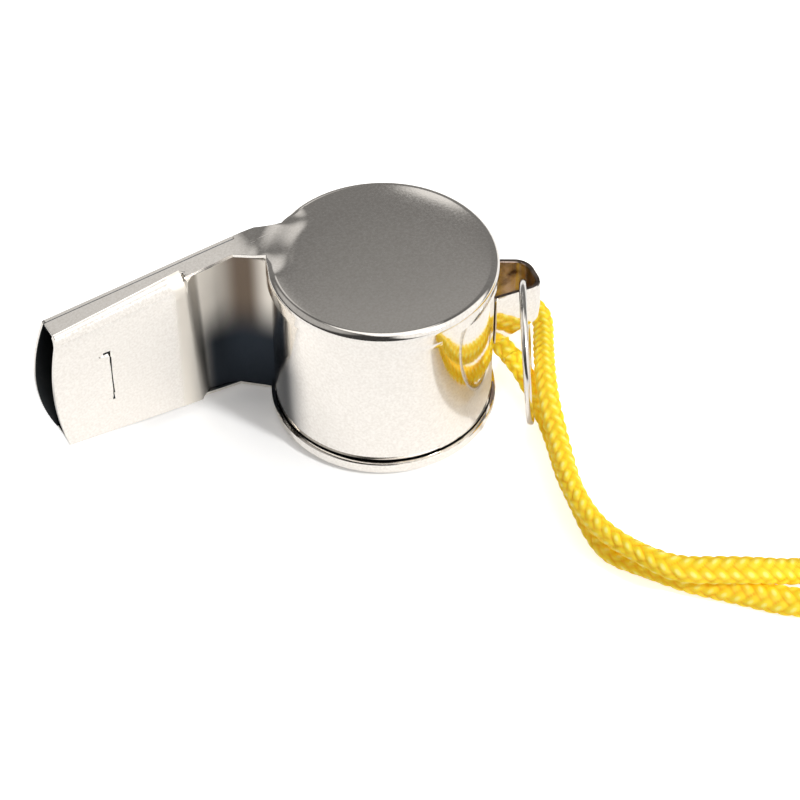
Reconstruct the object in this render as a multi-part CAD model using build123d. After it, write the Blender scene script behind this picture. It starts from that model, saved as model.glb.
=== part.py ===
"""Sports whistle: a sheet-metal pea whistle with a wire ring and a cord lanyard.

Millimetres, +Z up. The whistle lies on its lower side plate. The origin is on the barrel's axis, at the
surface that the whistle lies on. +Z follows the barrel's axis, the mouthpiece points to -X, and the roof of
the windway, which is its top in use, faces +Y.
"""

import math
import os

from build123d import *

# Barrel: two pressed side plates with a short skirt, and a rolled wall between them.
barrel_height = 18.2
disc_radius = 11.0
plate_sheet = 0.35
skirt_height = 1.6
rim_round = 0.6
wall_sheet = 0.45
solder_gap = 0.04
window_edge_angle = 121.0
fold_angle = 146.0

# Mouthpiece: flat and wide, along the +Y side of the barrel, lower at the lip than at the barrel.
mouth_length = 19.3
lip_height = 13.6
roof_inset = 0.2
mouth_depth = 3.38
mouth_sheet = 0.45
taper_overlap = 3.0
taper_round = 78.0
window_overlap = 0.5
lap_length = 13.9
lap_drop = 0.15
lap_corner_round = 1.4
joggle_length = 1.8
joggle_depth = 0.85
throat_setback = 0.6
fold_round = 0.9
floor_lip_bulge = 0.9
roof_lip_bulge = 1.5
bite_ridge_setback = 4.0
bite_ridge_length = 1.6
bite_ridge_width = 6.6
bite_ridge_height = 0.45

# Pea: a cork ball, loose in the barrel.
pea_radius = 5.2
pea_wall_gap = 0.4
pea_floor_gap = 0.1
pea_angle = -40.0

# Lug: a bent strip on the back of the barrel that holds the ring.
lug_angle = -9.5
lug_sheet = 0.5
lug_foot_half_width = 2.95
lug_end_half_width = 1.85
lug_length = 5.2
lug_end_round = 1.5
lug_foot_height = 6.0
lug_end_height = 4.2

# Ring: round wire, standing on the surface and hooked over the lug's near leg.
ring_wire = 0.8
ring_outer_diameter = 14.2
ring_turn = -27.0
ring_floor_gap = 0.05
ring_lug_gap = 0.12
ring_setback = 2.5

# Lanyard: one limp braided cord, doubled through the ring, with its ends knotted together.
cord_diameter = 2.2
coil_turns = 4
coil_gap = 0.45
coil_outer_turn = 17.9
coil_end_turn = 4.6
coil_lift = 0.5
layer_gap = 0.15
knot_radius = 2.65
knot_groove = 0.06
band_sheet = 0.3
band_width = 3.0
band_gap = 0.1

# Places on the cord's route, chosen by hand. The two strands run one over the other on the way to the coil.
bight_points = [
    (11.4, -11.5, 1.6),
    (11.75, -8.4, 2.6),
    (11.8, -6.9, 3.2),
    (11.7, -5.2, 3.7),
    (11.6, -3.3, 3.75),
    (12.0, -0.9, 3.55),
    (12.6, 1.2, 3.3),
    (13.9, 2.6, 3.0),
    (15.9, 2.9, 2.6),
    (17.6, 2.1, 2.4),
    (18.3, 0.3, 2.35),
    (17.6, -1.7, 2.5),
    (16.1, -3.9, 3.0),
    (13.1, -8.7, 4.6),
]
inner_points = [
    (10.45, -15.2, 1.15),
    (9.0, -19.0, 1.12),
    (8.2, -22.5, 1.12),
    (7.2, -26.4, 1.12),
    (7.0, -29.4, 1.12),
    (8.6, -31.9, 1.12),
    (10.9, -35.0, 1.12),
    (14.4, -38.6, 1.12),
    (18.85, -43.6, 1.12),
    (23.6, -45.1, 1.12),
    (30.4, -44.3, 1.12),
    (38.0, -42.9, 1.2),
]
outer_points = [
    (11.0, -12.7, 4.6),
    (9.8, -15.8, 4.0),
    (8.5, -19.2, 3.65),
    (7.3, -22.6, 3.5),
    (6.7, -26.5, 3.45),
    (7.15, -29.6, 3.42),
    (8.5, -32.8, 3.4),
    (10.2, -35.8, 3.38),
    (13.4, -37.7, 3.45),
    (16.6, -39.4, 3.2),
    (20.8, -40.4, 1.4),
    (26.3, -41.9, 1.3),
    (30.95, -42.5, 3.2),
    (36.0, -42.9, 3.8),
]
join_share = 0.35
coil_start = (52.7, -44.0)
coil_heading = -12.0

os.makedirs("parts", exist_ok=True)


def on_circle(radius, angle):
    """A point of a circle about the barrel's axis."""
    return (radius * math.cos(math.radians(angle)), radius * math.sin(math.radians(angle)))


def prism(points, depth, plane=Plane.XY):
    """A straight prism on a closed outline, the same depth to both sides of its plane."""
    return extrude(plane * make_face(Polyline(*points, close=True)), amount=depth, both=True)


def write(name, solid):
    """One closed solid in one file, with its volume and box printed."""
    solids = solid.solids()
    box = solid.bounding_box()
    size = " x ".join(f"{side:.2f}" for side in box.size)
    print(f"{name}: {len(solids)} solid, {solid.volume:.2f} mm3, {size} mm")
    solids[0].label = name
    export_step(solids[0], f"parts/{name}.step")


# What the pieces share.
mid_height = barrel_height / 2
lip_reach = disc_radius + mouth_length
lap_end = lip_reach - lap_length
throat_end = disc_radius + throat_setback
window_start = disc_radius - window_overlap
taper_start = disc_radius - taper_overlap
roof_height = disc_radius - roof_inset
floor_height = roof_height - mouth_depth
lug_reach = disc_radius + lug_length
beyond = 2 * (lip_reach + disc_radius)
wall_radius = disc_radius - plate_sheet - solder_gap
chamber_radius = wall_radius - wall_sheet
fold_corner = on_circle(disc_radius, fold_angle)
window_corner = on_circle(disc_radius, window_edge_angle)
rim_inside_round = rim_round - plate_sheet / 2
taper_drop = (barrel_height - lip_height) / 2
taper_slope = taper_drop / (lip_reach - taper_start)
taper_half_turn = math.atan(taper_slope) / 2
taper_bend = taper_round * math.tan(taper_half_turn)
floor_inside = floor_height + mouth_sheet
roof_inside = roof_height - mouth_sheet
throat_height = floor_height + lap_drop + joggle_depth


def plate_top(x):
    """Height of the upper side plate's outer face above the middle of the barrel, at a distance -x."""
    return barrel_height / 2 - max(0, -x - taper_start) * taper_slope


def flank(start, end, inset):
    """Outline in X and Z between the side plates' outer faces, drawn in by an inset, from start to end."""
    stations = [start, -taper_start - taper_bend, -taper_start + taper_bend, end]
    stations = sorted({min(max(x, start), end) for x in stations})
    upper = [(x, plate_top(x) - inset) for x in stations]
    lower = [(x, -z) for x, z in reversed(upper)]
    return [(x, mid_height + z) for x, z in upper + lower]


# Side plates: a disc with a skirt, and the sloping cheek of the mouthpiece in one pressing.
def side_plate():
    """The upper side plate."""
    cup = Cylinder(disc_radius, skirt_height, align=(Align.CENTER, Align.CENTER, Align.MAX))
    cup = fillet(cup.edges().sort_by(Axis.Z)[-1], rim_round)
    hollow = Cylinder(
        disc_radius - plate_sheet, skirt_height, align=(Align.CENTER, Align.CENTER, Align.MAX)
    )
    hollow = fillet(hollow.edges().sort_by(Axis.Z)[-1], rim_inside_round)
    cup = Pos(0, 0, barrel_height) * (cup - Pos(0, 0, -plate_sheet) * hollow)
    past = (fold_corner[0] * 2 + window_corner[0], fold_corner[1] + window_corner[1] * 2)
    cup -= prism([fold_corner, window_corner, past], beyond)

    near_edge = floor_inside + lap_drop + 2 * solder_gap
    far_edge = roof_inside - solder_gap
    outline = [
        (-lip_reach, near_edge - lap_drop),
        (-lap_end, near_edge),
        (-throat_end, near_edge),
        fold_corner,
        (fold_corner[0] + rim_round, fold_corner[1] - rim_round),
        (window_corner[0] + rim_round, window_corner[1] - rim_round),
        window_corner,
        (-window_start, far_edge),
        (-lip_reach, far_edge),
    ]
    slope_end = mid_height + plate_top(-lip_reach)
    top = FilletPolyline(
        (-lip_reach, 0, slope_end),
        (-taper_start, 0, barrel_height),
        (0, 0, barrel_height),
        radius=taper_round,
    )
    under = Pos(0, 0, -plate_sheet) * top
    ends = [Line(top @ 0, under @ 0), Line(top @ 1, under @ 1)]
    bent = extrude(make_face([*top.edges(), *under.edges(), *ends]), amount=beyond, dir=(0, 1, 0), both=True)
    return cup + (bent & prism(outline, beyond))


upper_plate = side_plate()
write("side_plate_upper", upper_plate)
write("side_plate_lower", mirror(upper_plate, about=Plane.XY.offset(mid_height)))

# Barrel wall: one strip rolled round from the edge of the window to the fold under the mouthpiece.
wall_height = barrel_height - 2 * (plate_sheet + rim_inside_round + solder_gap)
wall = Cylinder(wall_radius, wall_height) - Cylinder(chamber_radius, wall_height)
gap_tip = on_circle(beyond, (fold_angle + window_edge_angle) / 2)
wall -= prism(
    [(0, 0), on_circle(beyond, window_edge_angle), gap_tip, on_circle(beyond, fold_angle)], beyond
)
write("barrel_wall", Pos(0, 0, mid_height) * wall)


# Mouthpiece plates: the floor laps over the side plates, then steps in between them and folds to the wall.
def lip_arc(start, bulge, inset):
    """Front edge of a mouthpiece plate, a shallow arc from cheek to cheek."""
    top = (start, mid_height + plate_top(start) - inset)
    foot = (start, mid_height - plate_top(start) + inset)
    return ThreePointArc(foot, (start - bulge, mid_height), top)


def plate_outline(end, bulge, corner_round):
    """Outline in X and Z of a mouthpiece plate that is flush with the side plates' outer faces."""
    edges = flank(-lip_reach, -end, 0)
    face = make_face([Polyline(*edges), lip_arc(-lip_reach, bulge, 0)])
    return fillet(face.vertices().sort_by(Axis.X)[-2:], corner_round)


half_sheet = mouth_sheet / 2
floor_front = 2 * floor_lip_bulge
lap_slope = lap_drop / (lip_reach - lap_end)
fold_end = on_circle(wall_radius - wall_sheet / 2, fold_angle)
floor_line = FilletPolyline(
    (-lip_reach - floor_front, floor_height + half_sheet - lap_slope * floor_front),
    (-lap_end, floor_height + lap_drop + half_sheet),
    (-lap_end + joggle_length, throat_height + half_sheet),
    (-throat_end, throat_height + half_sheet),
    fold_end,
    radius=fold_round,
)
floor_bar = extrude(trace(floor_line, mouth_sheet), amount=beyond, both=True)
floor_bar -= Cylinder(wall_radius + solder_gap, beyond)
skirt_notch = Cylinder(disc_radius + solder_gap, 2 * (skirt_height + solder_gap))
floor_bar -= skirt_notch
floor_bar -= Pos(0, 0, barrel_height) * skirt_notch
lap_face = plate_outline(lap_end, floor_lip_bulge, lap_corner_round)
throat_face = make_face(Polyline(*flank(-lap_end - joggle_length, 0, plate_sheet + solder_gap), close=True))
floor_plate = floor_bar & extrude(Plane.XZ * (lap_face + throat_face), amount=beyond, both=True)
ridge_start = -lip_reach + bite_ridge_setback
ridge_root = floor_height + lap_drop + half_sheet
ridge = [
    (ridge_start, ridge_root),
    (ridge_start + bite_ridge_length, ridge_root),
    (ridge_start + bite_ridge_length, floor_height - bite_ridge_height),
]
floor_plate += Pos(0, 0, mid_height) * prism(ridge, bite_ridge_width / 2)
write("mouthpiece_floor", floor_plate)

roof_face = plate_outline(window_start, roof_lip_bulge, mouth_sheet)
roof_plate = extrude(Plane.XZ * roof_face, amount=mouth_sheet / 2, both=True)
write("mouthpiece_roof", Pos(0, roof_height - half_sheet, 0) * roof_plate)

# Pea: rests on the lower side plate and can run round the barrel.
pea_orbit = chamber_radius - pea_wall_gap - pea_radius
pea_place = (*on_circle(pea_orbit, pea_angle), plate_sheet + pea_floor_gap + pea_radius)
write("pea", Pos(*pea_place) * Sphere(pea_radius))

# Lug: a U-shaped strip, wide at its soldered feet and narrow round its end.
half_lug = lug_sheet / 2
lug_line = FilletPolyline(
    (chamber_radius, -lug_foot_half_width),
    (lug_reach - half_lug, -lug_end_half_width),
    (lug_reach - half_lug, lug_end_half_width),
    (chamber_radius, lug_foot_half_width),
    radius=lug_end_round,
)
lug_side = [
    (chamber_radius, lug_foot_height / 2),
    (wall_radius, lug_foot_height / 2),
    (lug_reach, lug_end_height / 2),
    (lug_reach, -lug_end_height / 2),
    (wall_radius, -lug_foot_height / 2),
    (chamber_radius, -lug_foot_height / 2),
]
lug = extrude(trace(lug_line, lug_sheet), amount=beyond, both=True)
lug &= prism(lug_side, beyond, Plane.XZ)
lug -= Cylinder(wall_radius + solder_gap, beyond)
write("lanyard_lug", Pos(0, 0, mid_height) * Rot(0, 0, lug_angle) * lug)

# Ring: hooked on the near leg, it stands on the surface, or hangs clear of the far leg if it is too small.
hook_reach = lug_reach - ring_setback
leg_slope = (lug_foot_half_width - lug_end_half_width) / (lug_reach - half_lug - chamber_radius)
hook_side = -lug_end_half_width - (lug_reach - half_lug - hook_reach) * leg_slope
edge_slope = (lug_foot_height - lug_end_height) / 2 / (lug_reach - wall_radius)
hook_top = mid_height + lug_foot_height / 2 - (hook_reach - wall_radius) * edge_slope + ring_lug_gap
hook = Vector(hook_reach, hook_side, mid_height).rotate(Axis.Z, lug_angle)
ring_axis = Vector(1, 0, 0).rotate(Axis.Z, ring_turn)
leg_way = Vector(1, leg_slope, 0).normalized().rotate(Axis.Z, lug_angle)
leg_half_cut = half_lug / abs(ring_axis.dot(leg_way))
ring_radius = (ring_outer_diameter - ring_wire) / 2
ring_bore = ring_radius - ring_wire / 2
standing_height = ring_outer_diameter / 2 + ring_floor_gap
far_leg_reach = (-2 * hook_side - lug_sheet) / math.cos(math.radians(ring_turn - lug_angle))
least_set_off = max(0, ring_outer_diameter / 2 + ring_lug_gap - far_leg_reach)
hanging_height = hook_top - math.sqrt(ring_bore**2 - (least_set_off + leg_half_cut) ** 2)
ring_height = max(standing_height, hanging_height)
ring_set_off = math.sqrt(ring_bore**2 - (hook_top - ring_height) ** 2) - leg_half_cut
outward = Vector(0, -1, 0).rotate(Axis.Z, ring_turn)
ring_centre = Vector(hook.X, hook.Y, ring_height) + outward * ring_set_off
ring_plane = Plane(origin=ring_centre, z_dir=ring_axis)
write("lanyard_ring", ring_plane * Torus(ring_radius, ring_wire / 2))
print("ring hinge", [round(v, 4) for v in hook], "axis", [round(-v, 6) for v in ring_axis])
print("ring centre", [round(v, 4) for v in ring_centre])


# Cord: tubes of straight runs joined by arcs as large as the runs allow.
def cord_path(points):
    """A route with each corner rounded by 0.45 of its shorter run."""
    route = [Vector(p) for p in points]
    reach_share = 0.45
    radii = []
    for before, at, after in zip(route, route[1:], route[2:]):
        turn = (at - before).get_angle(after - at)
        run = min((at - before).length, (after - at).length)
        radii.append(reach_share * run / math.tan(math.radians(turn) / 2))
    print("  radii", " ".join(f"{r:.1f}" for r in radii))
    return FilletPolyline(*route, radius=radii)


def tube(path):
    """A cord's round section carried along a path, with its volume against section times length."""
    start = Plane(origin=path @ 0, z_dir=path % 0)
    body = sweep(start * Circle(cord_diameter / 2), path=path)
    section = math.pi * cord_diameter**2 / 4
    print(f"  length {path.length:.1f}, volume share {body.volume / (section * path.length):.4f}")
    return body


lower_layer = coil_lift + cord_diameter / 2
upper_layer = lower_layer + cord_diameter + layer_gap
coil_way = Vector(1, 0, 0).rotate(Axis.Z, coil_heading)
coil_side = Vector(0, 1, 0).rotate(Axis.Z, coil_heading)
lead = coil_way * cord_diameter
entry = Vector(*coil_start)
inner_join = Vector(*bight_points[0]) * (1 - join_share) + Vector(*inner_points[0]) * join_share
outer_join = Vector(*bight_points[-1]) * (1 - join_share) + Vector(*outer_points[0]) * join_share
write("lanyard_bight", tube(cord_path([inner_join, *bight_points, outer_join])))


def strand(join, points, height):
    """A strand from the bight's end to the coil, where it runs straight into its layer."""
    end = entry + Vector(0, 0, height) - lead
    return tube(cord_path([join, *points, end - lead * 2, end]))


write("lanyard_inner_strand", strand(inner_join, inner_points, lower_layer))
write("lanyard_outer_strand", strand(outer_join, outer_points, upper_layer))

# Coil: each strand is one layer of turns that spiral in, half a turn at a time, and end in the middle.
turn_step = cord_diameter + coil_gap
coil_centre = entry + coil_side * coil_outer_turn


def coil_path(height):
    """One layer: a short lead, half turns of shrinking radius, a last small half turn and a short end."""
    at = entry + Vector(0, 0, height)
    edges = [Line(at - lead, at)]
    turns = [coil_outer_turn - k * turn_step / 2 for k in range(2 * coil_turns)] + [coil_end_turn]
    side = 1
    for radius in turns:
        middle = at + coil_side * radius * side + coil_way * radius * side
        end = at + coil_side * 2 * radius * side
        edges.append(ThreePointArc(at, middle, end))
        at = end
        side = -side
    edges.append(Line(at, at + lead * side))
    return Wire(edges)


def least_gap(path):
    """The least clear distance from the tube on a path to itself, on points along it."""
    count = int(path.length)
    points = [path @ (i / count) for i in range(count + 1)]
    apart = int(3 * cord_diameter)
    far = [(p - q).length for i, p in enumerate(points) for q in points[i + apart :]]
    return min(far) - cord_diameter


lower_path = coil_path(lower_layer)
upper_path = coil_path(upper_layer)
print(f"coil: least gap to itself {least_gap(lower_path):.2f} and {least_gap(upper_path):.2f} mm")
write("lanyard_coil_lower", tube(lower_path))
write("lanyard_coil_upper", tube(upper_path))

# Knot: both ends drawn up tight in two wraps, in the middle of the coil.
knot_end = lower_path @ 1
knot_way = lower_path % 1
wrap_radius = knot_radius - cord_diameter / 2
wrap_half = cord_diameter / 2 - knot_groove
knot_length = 2 * cord_diameter
knot = Cylinder(knot_radius - knot_groove * 4, knot_length)
for place in (-cord_diameter / 2, cord_diameter / 2):
    knot += Pos(0, 0, place) * Torus(wrap_radius, wrap_half)
knot_middle = Vector(knot_end.X, knot_end.Y, (lower_layer + upper_layer) / 2) + knot_way * knot_length / 2
write("lanyard_knot", Plane(origin=knot_middle, z_dir=knot_way) * knot)

# Band: an elastic loop round all the turns on the side away from the whistle.
bundle_out = coil_outer_turn + cord_diameter / 2 + band_gap
bundle_in = coil_outer_turn - (coil_turns - 1) * turn_step - cord_diameter / 2 - band_gap
bundle_low = coil_lift - band_gap
bundle_high = upper_layer + cord_diameter / 2 + band_gap
band_round = cord_diameter / 2
inside = RectangleRounded(bundle_out - bundle_in, bundle_high - bundle_low, band_round)
outside = offset(inside, band_sheet)
band_middle = coil_centre + coil_way * ((bundle_out + bundle_in) / 2)
band_plane = Plane(
    origin=(band_middle.X, band_middle.Y, (bundle_low + bundle_high) / 2), x_dir=coil_way, z_dir=-coil_side
)
write("lanyard_coil_band", extrude(band_plane * (outside - inside), amount=band_width / 2, both=True))
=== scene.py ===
"""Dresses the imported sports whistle: polished sheet metal, cork pea, wire ring and yellow lanyard.

Sizes here are millimetres in the shared frame: Z is the barrel's axis, -X the lip, +Y the windway's roof.
"""

import math

import bmesh
import bpy
import numpy as np
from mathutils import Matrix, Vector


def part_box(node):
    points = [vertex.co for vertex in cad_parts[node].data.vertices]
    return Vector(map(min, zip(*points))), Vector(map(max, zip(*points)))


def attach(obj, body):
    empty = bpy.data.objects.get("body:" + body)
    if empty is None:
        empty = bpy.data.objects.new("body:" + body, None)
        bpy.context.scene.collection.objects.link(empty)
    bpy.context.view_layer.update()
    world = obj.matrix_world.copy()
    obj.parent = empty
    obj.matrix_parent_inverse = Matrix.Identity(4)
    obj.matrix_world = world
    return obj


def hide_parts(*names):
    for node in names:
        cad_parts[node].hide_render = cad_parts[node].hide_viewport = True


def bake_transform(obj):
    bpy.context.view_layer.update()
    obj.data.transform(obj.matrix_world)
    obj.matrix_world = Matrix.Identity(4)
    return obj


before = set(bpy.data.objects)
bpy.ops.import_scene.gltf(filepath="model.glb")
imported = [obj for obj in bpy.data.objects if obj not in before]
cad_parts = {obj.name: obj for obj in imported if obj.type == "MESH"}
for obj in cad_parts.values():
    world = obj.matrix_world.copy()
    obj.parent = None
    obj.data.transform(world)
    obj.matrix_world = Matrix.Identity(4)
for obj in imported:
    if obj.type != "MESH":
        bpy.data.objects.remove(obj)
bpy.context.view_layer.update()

# Side plates: two mirrored pressings of thin brass sheet, nickel plated and polished. Each is a disc with
# a short skirt drawn down round the barrel, and a cheek that slopes to the lip and leaves the disc over a
# soft shoulder. The skirts are soldered over the ends of the barrel's wall.
MM = 0.001
barrel_height = 18.2
mid_height = barrel_height / 2
disc_radius = 11.0
plate_sheet = 0.35
skirt_height = 1.6
rim_round = 0.75
corner_round = 0.12
corner_fade = 9.0
cut_round = 0.05
foot_break = 0.06
disc_lift = 0.40
window_edge_angle = 121.0
fold_angle = 146.0
lip_reach = 30.3
lip_height = 13.6
near_edge = 8.10
near_edge_drop = 0.15
lap_over_at_lip = 8.36
lap_over_at_end = 8.90
edge_tuck = 0.9
tuck_gap = 0.05
tuck_width = 0.45
tuck_end = 0.3
tuck_end_width = 0.4
far_edge = 10.31
far_edge_at_window = 9.88
ear_edge = 10.36
ear_end = 8.2
ear_slant = 0.03
throat_end = 11.6
lap_end = 16.4
window_start = 10.5
shoulder_drop = 0.30
shoulder_inside = 3.0
shoulder_outside = 1.6
shoulder_edge = 0.5
shoulder_turn_start = window_edge_angle - 15
shoulder_turn_rise = 18.0
shoulder_turn_end = fold_angle + 20
shoulder_turn_fall = 22.0
taper_start = 9.0
taper_ease = 1.2
crown_drop = 0.13
crown_width = 2.2
plate_hub = np.array([-7.0, 8.6])


def linear(code):
    """Linear colour of an sRGB hex value: a straight foot, and above it a power of 2.4."""
    part = np.array([int(code[i : i + 2], 16) for i in (1, 3, 5)]) / 255
    low, high = part / 12.92, ((part + 0.055) / 1.055) ** 2.4
    return (*np.where(part <= 0.04045, low, high), 1.0)


def add(tree, kind, settings=None, **links):
    """A node of a kind, with its settings, and links from other sockets to its inputs by name or number."""
    node = tree.nodes.new(kind)
    for key, value in (settings or {}).items():
        if key in node.inputs:
            node.inputs[key].default_value = value
        else:
            setattr(node, key, value)
    for key, socket in links.items():
        spot = int(key[1:]) if key[1:].isdigit() else key.replace("_", " ")
        tree.links.new(socket, node.inputs[spot])
    return node


def new_material(name):
    """An empty material with a principled shader, its tree and the shader."""
    material = bpy.data.materials.new(name)
    material.use_nodes = True
    return material, material.node_tree, material.node_tree.nodes["Principled BSDF"]


def polished_nickel(name="polished_nickel_plate"):
    """Bright nickel on rolled sheet: a warm mirror, a little hazy, with orange peel and a faint wave."""
    peel_size, wave_size = 0.25 * MM, 4 * MM
    material, tree, shader = new_material(name)
    shader.inputs["Metallic"].default_value = 1.0
    place = add(tree, "ShaderNodeTexCoord").outputs["Object"]
    grain = add(tree, "ShaderNodeTexNoise", {"Scale": 1 / peel_size, "Detail": 4.0}, Vector=place)
    tint = add(tree, "ShaderNodeValToRGB", None, Fac=grain.outputs["Fac"])
    tint.color_ramp.elements[0].position = 0.35
    tint.color_ramp.elements[0].color = linear("#EAE5DE")
    tint.color_ramp.elements[1].position = 0.65
    tint.color_ramp.elements[1].color = linear("#F6F2EC")
    tree.links.new(tint.outputs["Color"], shader.inputs["Base Color"])
    rough = add(
        tree,
        "ShaderNodeMapRange",
        {"From Min": 0.3, "From Max": 0.7, "To Min": 0.05, "To Max": 0.10},
        Value=grain.outputs["Fac"],
    )
    tree.links.new(rough.outputs["Result"], shader.inputs["Roughness"])
    wave = add(tree, "ShaderNodeTexNoise", {"Scale": 1 / wave_size, "Detail": 1.0}, Vector=place)
    swell = add(
        tree, "ShaderNodeBump", {"Strength": 0.25, "Distance": 0.012 * MM}, Height=wave.outputs["Fac"]
    )
    peel = add(
        tree,
        "ShaderNodeBump",
        {"Strength": 0.12, "Distance": 0.01 * MM},
        Height=grain.outputs["Fac"],
        Normal=swell.outputs["Normal"],
    )
    tree.links.new(peel.outputs["Normal"], shader.inputs["Normal"])
    return material


def dull_inside_and_painted_shade():
    """The same sheet on its inside: unpolished, dark with flux and handling, so it hardly mirrors.
    On outer faces it is painted shade, in the seams under the skirts and round the teeth ridge.
    """
    stain_size = 3 * MM
    material, tree, shader = new_material("dull_sheet_inside_and_painted_shade")
    shader.inputs["Metallic"].default_value = 1.0
    shader.inputs["Roughness"].default_value = 0.42
    place = add(tree, "ShaderNodeTexCoord").outputs["Object"]
    stain = add(tree, "ShaderNodeTexNoise", {"Scale": 1 / stain_size, "Detail": 4.0}, Vector=place)
    tint = add(tree, "ShaderNodeValToRGB", None, Fac=stain.outputs["Fac"])
    tint.color_ramp.elements[0].color = linear("#23272B")
    tint.color_ramp.elements[1].color = linear("#3B3D3E")
    tree.links.new(tint.outputs["Color"], shader.inputs["Base Color"])
    return material


nickel = polished_nickel()
dull = dull_inside_and_painted_shade()


def quads(rows, cols, wrap_rows=False, wrap_cols=False):
    """Corner numbers of a grid's faces; wrapping joins the grid's last row or column to its first."""
    row = np.arange(rows if wrap_rows else rows - 1)[:, None]
    col = np.arange(cols if wrap_cols else cols - 1)[None, :]
    next_row, next_col = (row + 1) % rows, (col + 1) % cols
    corners = [row * cols + col, row * cols + next_col, next_row * cols + next_col, next_row * cols + col]
    return np.stack(np.broadcast_arrays(*corners), -1).reshape(-1, 4)


sharp_angle = 38.0


def make_piece(name, points, faces, materials, slots=None, sharp=sharp_angle):
    """A closed mesh from points in millimetres: doubles merged, faces out, smooth but for sharp edges."""
    mesh = bpy.data.meshes.new(name)
    mesh.from_pydata((np.asarray(points) * MM).tolist(), [], np.asarray(faces).tolist())
    for material in materials:
        mesh.materials.append(material)
    if slots is not None:
        mesh.polygons.foreach_set("material_index", np.asarray(slots, np.int32))
    work = bmesh.new()
    work.from_mesh(mesh)
    bmesh.ops.remove_doubles(work, verts=work.verts, dist=1e-4 * MM)
    bmesh.ops.dissolve_degenerate(work, edges=work.edges, dist=1e-5 * MM)
    bmesh.ops.recalc_face_normals(work, faces=work.faces)
    work.to_mesh(mesh)
    work.free()
    mesh.shade_smooth()
    mesh.set_sharp_from_angle(angle=math.radians(sharp))
    piece = bpy.data.objects.new(name, mesh)
    bpy.context.scene.collection.objects.link(piece)
    return piece


def soften(piece, width):
    """Breaks a piece's sharp edges with a small flat chamfer."""
    bevel = piece.modifiers.new("broken_edges", "BEVEL")
    bevel.width = width * MM
    bevel.segments = 1
    bevel.limit_method = "ANGLE"
    bevel.angle_limit = math.radians(50)
    uncut = piece.data
    cut = piece.evaluated_get(bpy.context.evaluated_depsgraph_get())
    piece.data = bpy.data.meshes.new_from_object(cut)
    piece.data.name = uncut.name
    piece.modifiers.clear()
    bpy.data.meshes.remove(uncut)
    piece.data.set_sharp_from_angle(angle=math.radians(sharp_angle))


def smooth_step(x):
    """0 below 0, 1 above 1, and between them three times the square less twice the cube."""
    t = np.clip(x, 0, 1)
    return t * t * (3 - 2 * t)


def cheek_top(x):
    """Height of the upper cheek's outer face: level at the shoulder, then a straight slope to the lip."""
    slope = ((barrel_height - lip_height) / 2 - shoulder_drop) / (lip_reach - taper_start)
    run = np.maximum(-np.asarray(x, float) - taper_start, 0)
    return barrel_height - shoulder_drop - slope * (run - taper_ease * (1 - np.exp(-run / taper_ease)))


def lap_edge(x):
    """Where the floor plate's lap ends on the upper cheek: a straight line from the lip to the throat."""
    return lap_over_at_lip + (lap_over_at_end - lap_over_at_lip) * (x + lip_reach) / (lip_reach - lap_end)


def plate_top(x, y, lift):
    """Height of the outer face: a disc crowned at its edge, a shoulder that falls to the cheek round the
    mouthpiece's sector, and on the raised plate the cheek's near edge tucked under the lap."""
    radius = np.hypot(x, y)
    angle = np.degrees(np.arctan2(y, x))
    disc = barrel_height + lift - crown_drop * np.exp(-np.maximum(disc_radius - radius, 0) / crown_width)
    past_window = smooth_step((angle - shoulder_turn_start) / shoulder_turn_rise)
    before_fold = smooth_step((shoulder_turn_end - angle) / shoulder_turn_fall)
    sector = np.maximum(past_window * before_fold, smooth_step((radius - disc_radius) / shoulder_edge))
    over = radius - disc_radius + shoulder_inside
    fall = smooth_step(over / (shoulder_inside + shoulder_outside)) * sector
    under_lap = smooth_step((lap_edge(x) - tuck_gap - y) / tuck_width)
    along_lap = smooth_step((-lap_end - tuck_end - x) / tuck_end_width)
    tucked = under_lap * along_lap * (lift > 0)
    return disc + (cheek_top(x) - disc) * fall - edge_tuck * tucked


def plate_outline():
    """The plate's edge seen from above, disc then cheek, and 1 where an edge point carries the skirt."""
    turn = np.radians(np.linspace(window_edge_angle, fold_angle - 360, 300))
    disc = disc_radius * np.stack([np.cos(turn), np.sin(turn)], 1)
    corners = np.array([
        disc[-1],
        (-throat_end, near_edge),
        (-lap_end, near_edge),
        (-lip_reach, near_edge - near_edge_drop),
        (-lip_reach, far_edge),
        (-window_start, far_edge_at_window),
        (-window_start + ear_slant, ear_edge),
        (-ear_end, ear_edge),
        disc[0],
    ])
    steps = (14, 20, 40, 10, 60, 3, 12, 16)
    runs = [np.linspace(a, b, n, endpoint=False) for a, b, n in zip(corners, corners[1:], steps)]
    cheek = np.concatenate(runs)[1:]
    skirt = np.r_[np.ones(len(disc)), np.zeros(len(cheek))]
    return np.concatenate([disc, cheek]), skirt


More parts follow.
